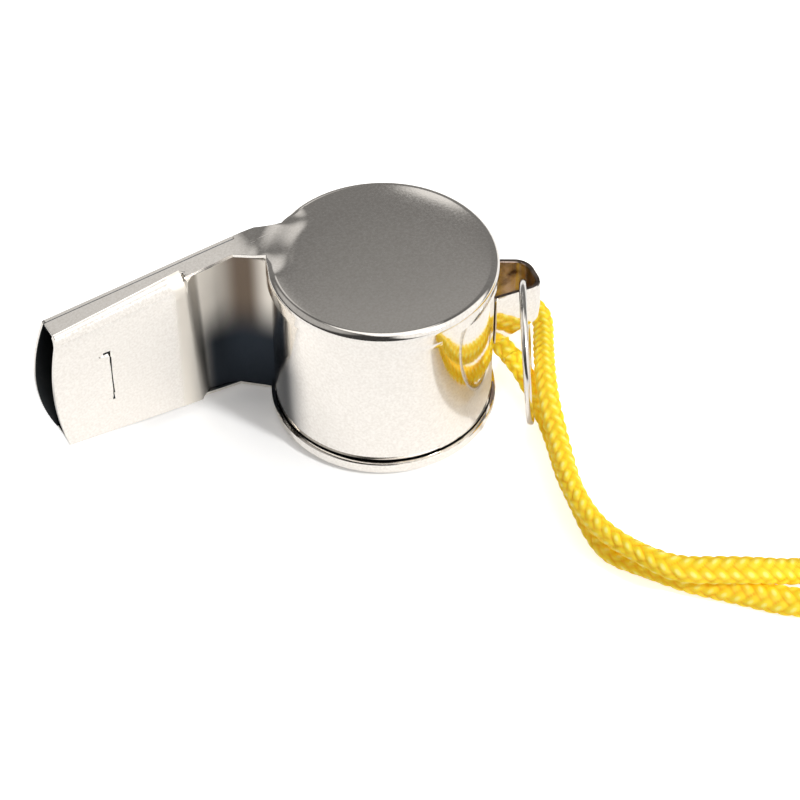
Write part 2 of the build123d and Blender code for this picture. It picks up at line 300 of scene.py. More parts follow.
def plate_rows(lift):
    """Rows of points from the hub out over the face, down the skirt or cut edge, and back underneath."""
    edge, skirt = plate_outline()
    span = edge - plate_hub
    from_axis = edge / np.linalg.norm(edge, axis=1)[:, None]
    from_hub = span / np.linalg.norm(span, axis=1)[:, None]
    outward = np.where(skirt[:, None] > 0, from_axis, from_hub)
    angle = np.degrees(np.arctan2(edge[:, 1], edge[:, 0]))
    past_corners = [(angle - corner + 180) % 360 - 180 for corner in (window_edge_angle, fold_angle)]
    from_corner = np.minimum(*np.abs(past_corners))
    skirt_round = corner_round + (rim_round - corner_round) * smooth_step(from_corner / corner_fade)
    rounding = np.where(skirt > 0, skirt_round, cut_round)[:, None]
    rows = []

    def level(share, low=0.0):
        """Points a share of the way from the hub to the start of the rounding."""
        flat = plate_hub + share * (edge - outward * rounding - plate_hub)
        rows.append(np.c_[flat, plate_top(*flat.T, lift) - low])

    shares = np.r_[np.linspace(0, 0.3, 14), np.linspace(0.32, 0.9, 44), np.linspace(0.91, 1, 14)]
    for share in shares:
        level(share)
    brow = rows[-1][:, 2]
    for turn in np.radians(np.linspace(0, 90, 9)[1:]):
        out = edge - outward * rounding * (1 - math.sin(turn))
        rows.append(np.c_[out, brow - rounding[:, 0] * (1 - math.cos(turn))])
    foot = np.where(skirt > 0, barrel_height - skirt_height, brow - plate_sheet)
    thick = np.where(skirt > 0, plate_sheet, 0.0)[:, None]
    inner_round = np.where(skirt > 0, rounding[:, 0], 0.0)
    rows.append(np.c_[edge, np.minimum(foot + foot_break, rows[-1][:, 2])])
    rows.append(np.c_[edge - outward * np.where(skirt > 0, foot_break, 0.0)[:, None], foot])
    rows.append(np.c_[edge - outward * thick, foot])
    rows.append(np.c_[edge - outward * thick, brow - plate_sheet - inner_round])
    for share in shares[::-4]:
        level(share, plate_sheet)
    level(0.0, plate_sheet)
    return np.array(rows)


lower_rows = plate_rows(0.0) * (1, 1, -1) + (0, 0, barrel_height)
for name, rows in (("side_plate_upper", plate_rows(disc_lift)), ("side_plate_lower", lower_rows)):
    count, columns = rows.shape[:2]
    plate_faces = quads(count, columns, wrap_cols=True)
    plate = make_piece(name + "_pressing", rows.reshape(-1, 3), plate_faces, [nickel])
    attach(plate, "whistle")
    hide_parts(name)

# Barrel wall: a strip of the same sheet, rolled to a round from the edge of the sound window to the fold
# under the mouthpiece. Its outside is polished with the plates, and its inside stays dull.
wall_radius = 10.61
wall_sheet = 0.45
wall_foot = 0.82
edge_break = 0.05
seam_depth = 0.30
seam_edge = 1.95
seam_ease = 0.35
# The seam under each skirt gets painted shade, in a band that is widest on the lug's side.
seam_lip = 0.25
seam_shade_widening = 0.5
seam_shade_widest = math.radians(-24)
seam_shade_narrowing = 8
seam_unevenness = 0.6
seam_deepest = -0.5


def shell(name, outer, inner, materials, slots=(0, 1, 0)):
    """A sheet with thickness: an outer and an inner grid, joined round their borders."""
    rows, cols = outer.shape[:2]
    faces = quads(rows, cols)
    count = rows * cols
    grid = np.arange(count).reshape(rows, cols)
    border = np.r_[grid[0, :-1], grid[:-1, -1], grid[-1, :0:-1], grid[:0:-1, 0]]
    after = np.roll(border, -1)
    rim = np.stack([border, after, after + count, border + count], 1)
    points = np.concatenate([outer.reshape(-1, 3), inner.reshape(-1, 3)])
    which = np.repeat(slots, (len(faces), len(faces), len(rim)))
    return make_piece(name, points, np.concatenate([faces, faces + count, rim]), materials, which)


def darken(piece, rule):
    """Gives the second material, the dark one, to those faces whose centres, in millimetres, meet a rule:
    painted shade.
    """
    faces = piece.data.polygons
    centres = np.zeros(len(faces) * 3)
    slots = np.zeros(len(faces), np.int32)
    faces.foreach_get("center", centres)
    faces.foreach_get("material_index", slots)
    slots[rule(*(centres.reshape(-1, 3).T / MM))] = 1
    faces.foreach_set("material_index", slots)


wall_turn = np.radians(np.linspace(window_edge_angle, fold_angle - 360, 360))[:, None]
seam_rise = np.linspace(wall_foot, seam_edge, 12)
clear_rise = np.linspace(seam_edge, barrel_height - seam_edge, 24)[1:-1]
wall_rise = np.r_[seam_rise, clear_rise, barrel_height - seam_rise[::-1]][None, :]


def rolled(radius):
    """A part cylinder about the barrel's axis, drawn in under the skirts so that a seam stays open."""
    from_end = np.minimum(wall_rise, barrel_height - wall_rise)
    depth = seam_depth * (1 + seam_unevenness * np.cos(wall_turn - seam_deepest))
    reach = radius - depth * smooth_step((seam_edge - from_end) / seam_ease)
    around = reach * np.cos(wall_turn), reach * np.sin(wall_turn)
    return np.stack(np.broadcast_arrays(*around, wall_rise), -1)


def nickel_with_painted_shade(name, shade_and_haze_patches):
    """The same plate with patches of painted shade and reflection, each with some haze, and one of haze
    alone;
    each patch has a colour, a haze, and spans along the axes, in millimetres, over which it sets in."""
    material = polished_nickel(name)
    tree = material.node_tree
    shader = tree.nodes["Principled BSDF"]
    place = add(tree, "ShaderNodeTexCoord").outputs["Object"]
    axes = add(tree, "ShaderNodeSeparateXYZ", None, Vector=place)
    colour = shader.inputs["Base Color"].links[0].from_socket
    rough = shader.inputs["Roughness"].links[0].from_socket
    for code, haze, spans in shade_and_haze_patches:
        amount = None
        for axis, start, end in spans:
            part = add(
                tree,
                "ShaderNodeMapRange",
                {"From Min": start * MM, "From Max": end * MM, "interpolation_type": "SMOOTHSTEP"},
                Value=axes.outputs[axis],
            ).outputs["Result"]
            if amount:
                both = add(tree, "ShaderNodeMath", {"operation": "MULTIPLY"}, _0=amount, _1=part)
                part = both.outputs["Value"]
            amount = part
        mix = add(tree, "ShaderNodeMix", {"data_type": "RGBA"}, Factor=amount, _6=colour)
        mix.inputs[7].default_value = linear(code)
        colour = mix.outputs[2]
        hazy = add(tree, "ShaderNodeMath", {"operation": "MULTIPLY"}, _0=amount)
        hazy.inputs[1].default_value = haze
        rougher = add(tree, "ShaderNodeMath", {"operation": "MAXIMUM"}, _0=rough, _1=hazy.outputs["Value"])
        rough = rougher.outputs["Value"]
    tree.links.new(colour, shader.inputs["Base Color"])
    tree.links.new(rough, shader.inputs["Roughness"])
    return material


# Painted reflection: the wall's left side, towards the throat, is dark grey and a little hazy, for mirrored
# shade.
wall_nickel = nickel_with_painted_shade(
    "nickel_plate_with_painted_throat_reflection",
    [("#4A4C4F", 0.2, (("Y", -3.8, 0.6), ("X", -4.0, -6.0), ("Z", 15.5, 8.0)))],
)
wall_faces = rolled(wall_radius), rolled(wall_radius - wall_sheet)
wall = shell("barrel_wall_strip", *wall_faces, [wall_nickel, dull])


def in_seam_shade(x, y, z):
    """Whether a point lies in the painted shade of the seam under a skirt, which is widest on the lug's
    side.
    """
    wider = seam_shade_widening * np.maximum(np.cos(np.arctan2(y, x) - seam_shade_widest), 0) ** seam_shade_narrowing
    return np.minimum(z, barrel_height - z) < seam_edge - seam_lip + wider


# Painted shade: faces in the seams under the skirts get the dark material.
darken(wall, in_seam_shade)
soften(wall, edge_break)
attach(wall, "whistle")
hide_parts("barrel_wall")

# Mouthpiece floor: a plate that laps over the cheeks' near edges, steps in at the throat and folds to the
# barrel. Its front is cut to a shallow arc for the lips, and a short ridge for the teeth is pressed in it.
mouth_sheet = 0.45
floor_height = 7.42
lap_drop = 0.15
joggle_length = 1.1
joggle_depth = 0.85
joggle_round = 0.9
fold_round = 4.0
solder_gap = 0.02
cheek_gap = 0.04
lap_roll_low = 0.4
lap_turn = 70.0
lap_proud = 0.12
least_roll = 0.05
cut_roll = 0.06
floor_lip_bulge = 0.9
lap_end_slant = 0.45
slant_reach = 2.5
ridge_start = -26.95
ridge_length = 1.5
ridge_width = 6.2
ridge_height = 0.35
ridge_fall = 0.1
ridge_top_ease = 0.18
ridge_foot_ease = 0.9
groove_width = 0.26
groove_depth = 0.16
groove_ease = 0.08
groove_start = 0.02
tick_length = 0.5
tick_below, tick_above = 0.06, 0.12


def rounded_line(corners, radii, spacing):
    """Points along straight runs with a tangent arc at each inner corner, a spacing apart on the runs."""
    corners = [np.array(c, float) for c in corners]
    line = [corners[0][None]]
    for before, at, after, radius in zip(corners, corners[1:], corners[2:], radii):
        way_in = (at - before) / np.linalg.norm(at - before)
        way_out = (after - at) / np.linalg.norm(after - at)
        bend = math.acos(np.clip(way_in @ way_out, -1, 1))
        reach = radius * math.tan(bend / 2)
        side = np.sign(way_in[0] * way_out[1] - way_in[1] * way_out[0])
        centre = at - way_in * reach + side * radius * np.array([-way_in[1], way_in[0]])
        start = at - way_in * reach - centre
        sweep = side * np.linspace(0, bend, max(4, int(math.degrees(bend) / 5)))
        quarter = np.array([-start[1], start[0]])
        arc = centre + start * np.cos(sweep)[:, None] + quarter * np.sin(sweep)[:, None]
        run = np.linalg.norm(arc[0] - line[-1][-1])
        straight = np.linspace(line[-1][-1], arc[0], max(2, int(run / spacing)), endpoint=False)
        line += [straight[1:], arc]
    run = np.linalg.norm(corners[-1] - line[-1][-1])
    line.append(np.linspace(line[-1][-1], corners[-1], max(2, int(run / spacing)))[1:])
    return np.concatenate(line)


def across_of(line):
    """Unit normals of a line in the plane, to its left."""
    way = np.gradient(line, axis=0)
    way /= np.linalg.norm(way, axis=1)[:, None]
    return np.stack([-way[:, 1], way[:, 0]], 1)


half_sheet = mouth_sheet / 2
throat_height = floor_height + lap_drop + joggle_depth
fold_turn = math.radians(fold_angle)
fold_end = (wall_radius + solder_gap) * np.array([math.cos(fold_turn), math.sin(fold_turn)])
floor_line = rounded_line(
    [
        (-lip_reach, floor_height + half_sheet),
        (-lap_end, floor_height + lap_drop + half_sheet),
        (-lap_end + joggle_length, throat_height + half_sheet),
        (-throat_end, throat_height + half_sheet),
        fold_end,
    ],
    [joggle_round, joggle_round, fold_round],
    spacing=0.08,
)
floor_x = floor_line[:, :1]
lapped = floor_x < -lap_end
floor_side = across_of(floor_line)
floor_side = np.where(lapped, floor_side[0], floor_side)
throat_inset = plate_sheet + cheek_gap
roll_turn = np.radians(np.linspace(0, lap_turn, 13)[1:])
face_share = np.linspace(-1, 1, 130)


def floor_section(sheet):
    """The plate's section, flat with its edges rolled over on arcs: height over the middle, and distance
    back from the face."""
    curl, lean = 1 - np.cos(roll_turn), np.sin(roll_turn)
    over = np.where(lapped, lap_edge(floor_x) - floor_height, cut_roll) / curl[-1]
    top, low = np.maximum(over - sheet, least_roll), np.where(lapped, lap_roll_low, cut_roll)
    high = cheek_top(floor_x) - mid_height + np.where(lapped, lap_proud - sheet, -throat_inset)
    top_height = high - top * (lean[-1] - lean)
    low_height = high - low * (lean[-1] - lean)
    flat_top = high - top * lean[-1]
    flat_low = high - low * lean[-1]
    flat = (flat_top - flat_low) / 2 + (flat_top + flat_low) / 2 * face_share
    height = np.concatenate([-low_height[:, ::-1], flat, top_height], 1)
    back = np.concatenate([(low * curl)[:, ::-1], 0 * flat, top * curl], 1)
    return height, back


def floor_face(sheet):
    """One face of the floor plate, a sheet in from the outer one, with the lip's arc and the ridge."""
    height, back = floor_section(sheet)
    share = np.clip(height / (cheek_top(floor_x) - mid_height), -1, 1)
    bulge = floor_lip_bulge * (1 - share**2) * np.clip((-floor_x - lap_end) / (lip_reach - lap_end), 0, 1)
    inward = back + sheet - half_sheet
    slant = lap_end_slant * share * np.exp(-(((floor_x + lap_end) / slant_reach) ** 2))
    x = floor_x + floor_side[:, :1] * inward - bulge - slant
    y = floor_line[:, 1:] + floor_side[:, 1:] * inward
    along = (x - ridge_start) / ridge_length
    past = ridge_length * (along - 1)
    ramp = smooth_step(along) * smooth_step((ridge_fall - past) / ridge_fall)
    groove = smooth_step(past / groove_ease) * smooth_step((groove_width - past) / groove_ease)
    top_end = smooth_step((ridge_width / 2 - height) / ridge_top_ease)
    foot_end = smooth_step((height + ridge_width / 2) / ridge_foot_ease)
    relief = (groove_depth * groove - ridge_height * ramp) * top_end * foot_end
    return np.stack([x, y + relief, mid_height + height], -1)


def in_ridge_shade(x, y, z):
    """Whether a point lies in the painted shade along the ridge's back and round its upper end."""
    past = x - ridge_start - ridge_length
    height = z - mid_height
    over_top = height - ridge_width / 2
    behind = (past > groove_start) & (np.abs(height) < ridge_width / 2)
    above = (past > -tick_length) & (over_top > -tick_below) & (over_top < tick_above)
    return (behind | above) & (past < groove_width) & (y < floor_height + lap_drop + half_sheet)


# Painted shade: the hazy throat has a brown band across it and a dark blue-grey lower half, as mirrored
# shade.
throat_nickel = nickel_with_painted_shade(
    "nickel_plate_with_painted_throat_shade",
    [
        ("#EFE9DF", 0.50, (("X", -18.7, -17.6),)),
        ("#75675A", 0.50, (("X", -14.2, -11.2), ("X", -9.0, -10.6))),
        ("#2E343C", 0.50, (("X", -17.8, -13.8), ("Z", 13.0, 6.8))),
    ],
)
floor_faces = floor_face(0.0), floor_face(mouth_sheet)
floor_plate = shell("mouthpiece_floor_plate", *floor_faces, [throat_nickel, dull])
# Painted shade: the groove behind the teeth ridge and a short line over its upper end get the dark
# material.
darken(floor_plate, in_ridge_shade)
soften(floor_plate, edge_break)
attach(floor_plate, "whistle")
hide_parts("mouthpiece_floor")

# Mouthpiece roof: a flat plate on the top side in use, soldered on the cheeks' far edges from the lip to
# the sound window. Its lip is cut to a deeper arc than the floor's.
roof_height = 10.8
roof_taper = 0.42
roof_lip_bulge = 1.5
roof_x = np.linspace(-lip_reach, -window_start, 80)[:, None]
roof_share = np.linspace(-1, 1, 90)[None, :]
roof_z = mid_height + (cheek_top(roof_x) - mid_height) * roof_share
from_window = (-roof_x - window_start) / (lip_reach - window_start)
roof_bulge = roof_lip_bulge * (1 - roof_share**2) * from_window


def roof_face(y):
    """One face of the roof plate, at a height y at the lip and a little lower at the window."""
    tapered = y - roof_taper * (1 - from_window)
    return np.stack(np.broadcast_arrays(roof_x - roof_bulge, tapered, roof_z), -1)


roof_faces = roof_face(roof_height), roof_face(roof_height - mouth_sheet)
roof_plate = shell("mouthpiece_roof_plate", *roof_faces, [nickel, dull])
soften(roof_plate, edge_break)
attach(roof_plate, "whistle")
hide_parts("mouthpiece_roof")

# Pea: a ball turned from ground cork, loose in the barrel, that chops the air to make the trill. Its
# surface is matt and tan, with grains of several shades and shallow pits.
pea_radius = 5.2
pit_depth = 0.05
pea_low, pea_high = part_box("pea")
pea_centre = np.array((pea_low + pea_high) / 2) / MM
pea_turn = np.linspace(0, 2 * math.pi, 96, endpoint=False)[None, :]
pea_rise = np.linspace(0, math.pi, 64)[:, None]
pea_out = np.sin(pea_rise)
# The pits are a wound ripple, nine of them round the ball and five and a half from pole to pole.
pits = np.sin(9 * pea_turn + 4 * np.cos(5 * pea_rise)) * np.sin(11 * pea_rise) * pea_out**2
pea_way = np.broadcast_arrays(pea_out * np.cos(pea_turn), pea_out * np.sin(pea_turn), np.cos(pea_rise))
pea_grid = (pea_radius - pit_depth + pit_depth * pits)[..., None] * np.stack(pea_way, -1)


def ground_cork():
    """Ground and pressed cork: grains about a millimetre across, each its own tan, with pits between."""
    grain_size = 1.1 * MM
    material, tree, shader = new_material("ground_cork")
    shader.inputs["Roughness"].default_value = 0.85
    place = add(tree, "ShaderNodeTexCoord").outputs["Object"]
    grains = add(tree, "ShaderNodeTexVoronoi", {"Scale": 1 / grain_size}, Vector=place)
    tint = add(tree, "ShaderNodeValToRGB", None, Fac=grains.outputs["Color"])
    tint.color_ramp.elements[0].color = linear("#8A5A30")
    tint.color_ramp.elements[1].color = linear("#C99A63")
    tree.links.new(tint.outputs["Color"], shader.inputs["Base Color"])
    bump = add(
        tree,
        "ShaderNodeBump",
        {"Strength": 0.6, "Distance": 0.12 * MM, "invert": True},
        Height=grains.outputs["Distance"],
    )
    tree.links.new(bump.outputs["Normal"], shader.inputs["Normal"])
    return material


pea_points = (pea_centre + pea_grid).reshape(-1, 3)
pea_faces = quads(*pea_grid.shape[:2], wrap_cols=True)
pea = make_piece("cork_pea", pea_points, pea_faces, [ground_cork()], sharp=80)
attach(pea, "pea")
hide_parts("pea")

# Lug: a strip of plated brass bent to a U, with its feet soldered to the back of the barrel. It is wide at
# the feet, tapers to its round end, and holds the ring.
lug_angle = math.radians(-9.5)
lug_sheet = 0.5
lug_reach = 16.0
lug_foot_half_width = 2.95
lug_end_half_width = 1.85
lug_end_round = 1.5
lug_foot_height = 6.0
lug_end_height = 4.2
lug_bow = 0.10
lug_edge_break = 0.08
chamber_radius = wall_radius - wall_sheet
lug_line = rounded_line(
    [
        (chamber_radius, -lug_foot_half_width),
        (lug_reach - lug_sheet / 2, -lug_end_half_width),
        (lug_reach - lug_sheet / 2, lug_end_half_width),
        (chamber_radius, lug_foot_half_width),
    ],
    [lug_end_round] * 2,
    spacing=0.2,
)
lug_line = lug_line[np.hypot(*lug_line.T) > wall_radius + solder_gap]
lug_side = across_of(lug_line)
lug_taper = np.clip((lug_line[:, 0] - wall_radius) / (lug_reach - wall_radius), 0, 1)
lug_half = (lug_foot_height + (lug_end_height - lug_foot_height) * lug_taper) / 2
lug_share = np.linspace(-1, 1, 17)[None, :]


def lug_face(offset):
    """One face of the lug's strip, bowed a little across its width, turned to its place on the barrel."""
    out = offset + lug_bow * (1 - lug_share**2)
    x = lug_line[:, :1] - lug_side[:, :1] * out
    y = lug_line[:, 1:] - lug_side[:, 1:] * out
    z = mid_height + lug_half[:, None] * lug_share
    turned_x = x * math.cos(lug_angle) - y * math.sin(lug_angle)
    turned_y = x * math.sin(lug_angle) + y * math.cos(lug_angle)
    return np.stack(np.broadcast_arrays(turned_x, turned_y, z), -1)


def painted_brown_reflection():
    """The strip's inside and cut edges: brown, mottled from dark to pale, a painted reflection of the cord
    in shade.
    """
    stain_size = 1.5 * MM
    material, tree, shader = new_material("painted_brown_reflection")
    shader.inputs["Metallic"].default_value = 1.0
    shader.inputs["Roughness"].default_value = 0.22
    place = add(tree, "ShaderNodeTexCoord").outputs["Object"]
    stain = add(tree, "ShaderNodeTexNoise", {"Scale": 1 / stain_size, "Detail": 3.0}, Vector=place)
    tint = add(tree, "ShaderNodeValToRGB", None, Fac=stain.outputs["Fac"])
    tint.color_ramp.elements[0].position = 0.35
    tint.color_ramp.elements[0].color = linear("#4A3A34")
    tint.color_ramp.elements[1].position = 0.62
    tint.color_ramp.elements[1].color = linear("#A69488")
    tree.links.new(tint.outputs["Color"], shader.inputs["Base Color"])
    return material


lug_faces = lug_face(lug_sheet / 2 - lug_bow / 2), lug_face(-lug_sheet / 2 - lug_bow / 2)
# The lug's inside and cut edges get a painted brown reflection.
lug = shell("lanyard_lug_strip", *lug_faces, [nickel, painted_brown_reflection()], (0, 1, 1))
soften(lug, lug_edge_break)
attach(lug, "whistle")
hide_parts("lanyard_lug")

# Ring: round plated steel wire bent to a circle and closed with a butt joint. It is hooked over the lug's
# near leg and stands on the table.
ring_wire = 0.72
ring_radius = 6.7
ring_centre = np.array([11.2976, -8.116, 7.15])
ring_turn = math.radians(-31.0)
ring_out = np.array([math.sin(ring_turn), -math.cos(ring_turn), 0.0])
ring_axis = np.array([math.cos(ring_turn), math.sin(ring_turn), 0.0])
upward = np.array([0.0, 0.0, 1.0])
ring_lean = math.radians(5.0)
joint_turn = math.radians(250)
joint_gap = 0.35
joint_pinch = 0.72
ring_up = upward * math.cos(ring_lean) - ring_axis * math.sin(ring_lean)
ring_side = ring_axis * math.cos(ring_lean) + upward * math.sin(ring_lean)


def drawn_wire():
    """Plated steel wire: a plain bright metal whose polish is finely uneven from the drawing."""
    mark_size = 0.2 * MM
    material, tree, shader = new_material("plated_wire")
    shader.inputs["Metallic"].default_value = 1.0
    shader.inputs["Base Color"].default_value = linear("#E6E2DC")
    place = add(tree, "ShaderNodeTexCoord").outputs["Object"]
    marks = add(tree, "ShaderNodeTexNoise", {"Scale": 1 / mark_size, "Detail": 3.0}, Vector=place)
    rough = add(tree, "ShaderNodeMapRange", {"To Min": 0.08, "To Max": 0.24}, Value=marks.outputs["Fac"])
    tree.links.new(rough.outputs["Result"], shader.inputs["Roughness"])
    return material


loop = joint_turn + np.radians(np.r_[0.0, np.linspace(joint_gap, 360 - joint_gap, 240)])[:, None]
pinch = np.r_[joint_pinch, np.ones(len(loop) - 1)][:, None]
wire = np.linspace(0, 2 * math.pi, 24, endpoint=False)[None, :]
spoke = np.cos(loop)[..., None] * ring_out + np.sin(loop)[..., None] * ring_up
ring_grid = (
    ring_centre
    + spoke * (ring_radius + ring_wire / 2 * pinch * np.cos(wire))[..., None]
    + ring_side * (ring_wire / 2 * pinch * np.sin(wire))[..., None]
)
ring_faces = quads(*ring_grid.shape[:2], True, True)
ring = make_piece("lanyard_ring_wire", ring_grid.reshape(-1, 3), ring_faces, [drawn_wire()], sharp=60)
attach(ring, "ring")
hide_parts("lanyard_ring")

# Lanyard: one limp cord braided from dyed bulk yarn, soft and oval, doubled through the ring. Its two
# strands run one over the other and are wound up in two layers, where a band holds them and a knot joins
# their ends. The bight in the ring is a piece of its own.
cord_diameter = 2.2
bight_points = [
    (11.4, -11.5, 1.6),
    (11.75, -8.4, 2.6),
    (11.8, -6.9, 3.2),
    (11.7, -5.2, 3.7),
    (11.6, -3.3, 3.75),
    (12.0, -0.9, 3.55),
    (12.6, 1.2, 3.3),
    (13.9, 2.6, 3.0),
    (15.9, 2.9, 2.6),
    (17.6, 2.1, 2.4),
    (18.3, 0.3, 2.35),
    (17.6, -1.7, 2.5),
    (16.1, -3.9, 3.0),
    (13.1, -8.7, 4.6),
]
inner_points = [
    (10.45, -15.2, 1.15),
    (9.0, -19.0, 1.12),
    (8.2, -22.5, 1.12),
    (7.2, -26.4, 1.12),
    (7.0, -29.4, 1.12),
    (8.6, -31.9, 1.12),
    (10.9, -35.0, 1.12),
    (14.4, -38.6, 1.12),
    (18.85, -43.6, 1.12),
    (23.6, -45.1, 1.12),
    (30.4, -44.3, 1.12),
    (38.0, -42.9, 1.2),
]
outer_points = [
    (11.0, -12.7, 4.6),
    (9.8, -15.8, 4.0),
    (8.5, -19.2, 3.65),
    (7.3, -22.6, 3.5),
    (6.7, -26.5, 3.45),
    (7.15, -29.6, 3.42),
    (8.5, -32.8, 3.4),
    (10.2, -35.8, 3.38),
    (13.4, -37.7, 3.45),
    (16.6, -39.4, 3.2),
    (20.8, -40.4, 1.4),
    (26.3, -41.9, 1.3),
    (30.95, -42.5, 3.2),
    (36.0, -42.9, 3.8),
]
coil_entry = np.array([52.7, -44.0, 0.0])
coil_heading = math.radians(-12.0)
coil_turns = 4
coil_outer_turn = 17.9
coil_end_turn = 4.6
turn_step = 2.65
lower_layer = 1.6
upper_layer = 3.95
coil_way = np.array([math.cos(coil_heading), math.sin(coil_heading), 0.0])
coil_side = np.array([-math.sin(coil_heading), math.cos(coil_heading), 0.0])


def coil_points(layer):
    """One layer: a straight lead, half turns of shrinking radius about shifting centres, a short end."""
    at = coil_entry + upward * layer
    points = [at - coil_way * cord_diameter * k for k in (3, 1)]
    steps = np.radians(np.arange(0, 180, 15))[:, None]
    side = 1
    for radius in [coil_outer_turn - k * turn_step / 2 for k in range(2 * coil_turns)] + [coil_end_turn]:
        centre = at + coil_side * radius * side
        points += list(centre - side * radius * (coil_side * np.cos(steps) - coil_way * np.sin(steps)))
        at = centre + coil_side * radius * side
        side = -side
    return points + [at, at + coil_way * cord_diameter * side]


def cord_line(points):
    """A smooth line along the cord's route: points read from a NURBS curve that the route controls."""
    curve = bpy.data.curves.new("cord_route", "CURVE")
    curve.dimensions = "3D"
    curve.resolution_u = 14
    spline = curve.splines.new("NURBS")
    spline.points.add(len(points) - 1)
    spline.points.foreach_set("co", np.c_[np.array(points) * MM, np.ones(len(points))].ravel())
    spline.order_u = 3
    spline.use_endpoint_u = True
    carrier = bpy.data.objects.new("cord_route", curve)
    mesh = bpy.data.meshes.new_from_object(carrier)
    line = np.zeros(len(mesh.vertices) * 3)
    mesh.vertices.foreach_get("co", line)
    bpy.data.meshes.remove(mesh)
    bpy.data.objects.remove(carrier)
    bpy.data.curves.remove(curve)
    return line.reshape(-1, 3) / MM


def evenly(line, spacing):
    """The same line with points a spacing apart along it."""
    length = np.r_[0, np.cumsum(np.linalg.norm(np.diff(line, axis=0), axis=1))]
    at = np.linspace(0, length[-1], int(length[-1] / spacing))
    return np.stack([np.interp(at, length, axis) for axis in line.T], 1), at


inner_half = inner_points[::-1] + bight_points
route = coil_points(lower_layer)[::-1] + inner_half + outer_points + coil_points(upper_layer)
section_spacing = 0.19
whole_line, whole_at = evenly(cord_line(route), section_spacing)
inner_in_ring = (11.7, -5.2, 3.7)
outer_in_ring = (14.6, -6.2, 3.8)
from_ring, to_ring = (
    int(np.argmin(np.linalg.norm(whole_line - np.array(point), axis=1)))
    for point in (inner_in_ring, outer_in_ring)
)
yarns_each_way = 6
stitch_pitch = 1.25
half_wide = 1.00
half_wide_on_table = 1.30
half_thick = 0.90
yarn_rise = 0.24
yarn_mean = 0.6
yarn_roundness = 1.9
section_points = 40


def braid(theta, along):
    """The top yarn of a two-over-two braid: its height, 0 to 1, and the place across it, -0.5 to 0.5."""
    left = yarns_each_way * theta / (2 * math.pi) + along / stitch_pitch
    right = yarns_each_way * theta / (2 * math.pi) - along / stitch_pitch
    left_over = (np.floor(left) + np.floor(right)) % 4 < 2
    float_place = np.where(
        left_over, (np.floor(left) + right) % 4 - 1, (left + np.floor(right)) % 4 - 3
    )
    across = np.where(left_over, left % 1, right % 1) - 0.5
    arch = np.sqrt(np.maximum(np.cos(math.pi / 2 * float_place), 0))
    return arch * np.sqrt(1 - (yarn_roundness * across) ** 2), across


def cord_rings(line, along, wide, thick):
    """Rings of an oval braided section carried along a line, flat side down, which rocks as it goes in
    swings about 57 and 23 mm long."""
    way = np.gradient(line, axis=0)
    way /= np.linalg.norm(way, axis=1)[:, None]
    up = upward - way * (way @ upward)[:, None]
    up /= np.linalg.norm(up, axis=1)[:, None]
    side = np.cross(way, up)
    rock = 0.35 * np.sin(along / 9.0) + 0.2 * np.sin(along / 3.7 + 1.0)
    theta = np.linspace(0, 2 * math.pi, section_points, endpoint=False)[None, :]
    height, across = braid(theta, along[:, None])
    relief = yarn_rise * (height - yarn_mean)
    level = np.cos(theta) * (wide + relief)
    rise = np.sin(theta) * (thick + relief)
    c, s = np.cos(rock)[:, None], np.sin(rock)[:, None]
    rings = (
        line[:, None]
        + side[:, None] * (level * c - rise * s)[..., None]
        + up[:, None] * (level * s + rise * c)[..., None]
    )
    return rings, height, across


def yellow_braid():
    """Bulk yarn dyed yellow, with painted shade, highlight and glow: orange between the yarns, lemon on
    them.
    """
    fibres_over_yarn = 7  # Real fibres are far finer, and these are as coarse as they need to be to show.
    material, tree, shader = new_material("yellow_braided_cord")
    crown = add(tree, "ShaderNodeAttribute", {"attribute_name": "yarn_height"})
    tint = add(tree, "ShaderNodeValToRGB", None, Fac=crown.outputs["Fac"])
    ramp = tint.color_ramp
    # Painted shade and highlight: orange where the yarns dip, pale lemon on their crowns.
    ramp.elements[0].position = 0.05
    ramp.elements[0].color = linear("#FFB604")
    ramp.elements[1].position = 0.97
    ramp.elements[1].color = linear("#FFF688")
    ramp.elements.new(0.5).color = linear("#FFDC1C")
    ramp.elements.new(0.86).color = linear("#FFE634")
    tree.links.new(tint.outputs["Color"], shader.inputs["Base Color"])
    shader.inputs["Roughness"].default_value = 0.48
    # Painted glow: an orange emission, though the cord is no lamp, lifts its shaded side to orange.
    shader.inputs["Emission Color"].default_value = linear("#FFBE10")
    shader.inputs["Emission Strength"].default_value = 0.17
    shader.inputs["Subsurface Weight"].default_value = 0.25
    shader.inputs["Subsurface Radius"].default_value = (1.0, 0.55, 0.08)
    shader.inputs["Subsurface Scale"].default_value = 0.9 * MM
    across = add(tree, "ShaderNodeAttribute", {"attribute_name": "yarn_across"})
    fibres = add(tree, "ShaderNodeMath", {"operation": "MULTIPLY"}, _0=across.outputs["Fac"])
    fibres.inputs[1].default_value = fibres_over_yarn * 2 * math.pi
    wave = add(tree, "ShaderNodeMath", {"operation": "SINE"}, _0=fibres.outputs["Value"])
    bump = add(
        tree, "ShaderNodeBump", {"Strength": 0.5, "Distance": 0.05 * MM}, Height=wave.outputs["Value"]
    )
    tree.links.new(bump.outputs["Normal"], shader.inputs["Normal"])
    return material


cord_yellow = yellow_braid()


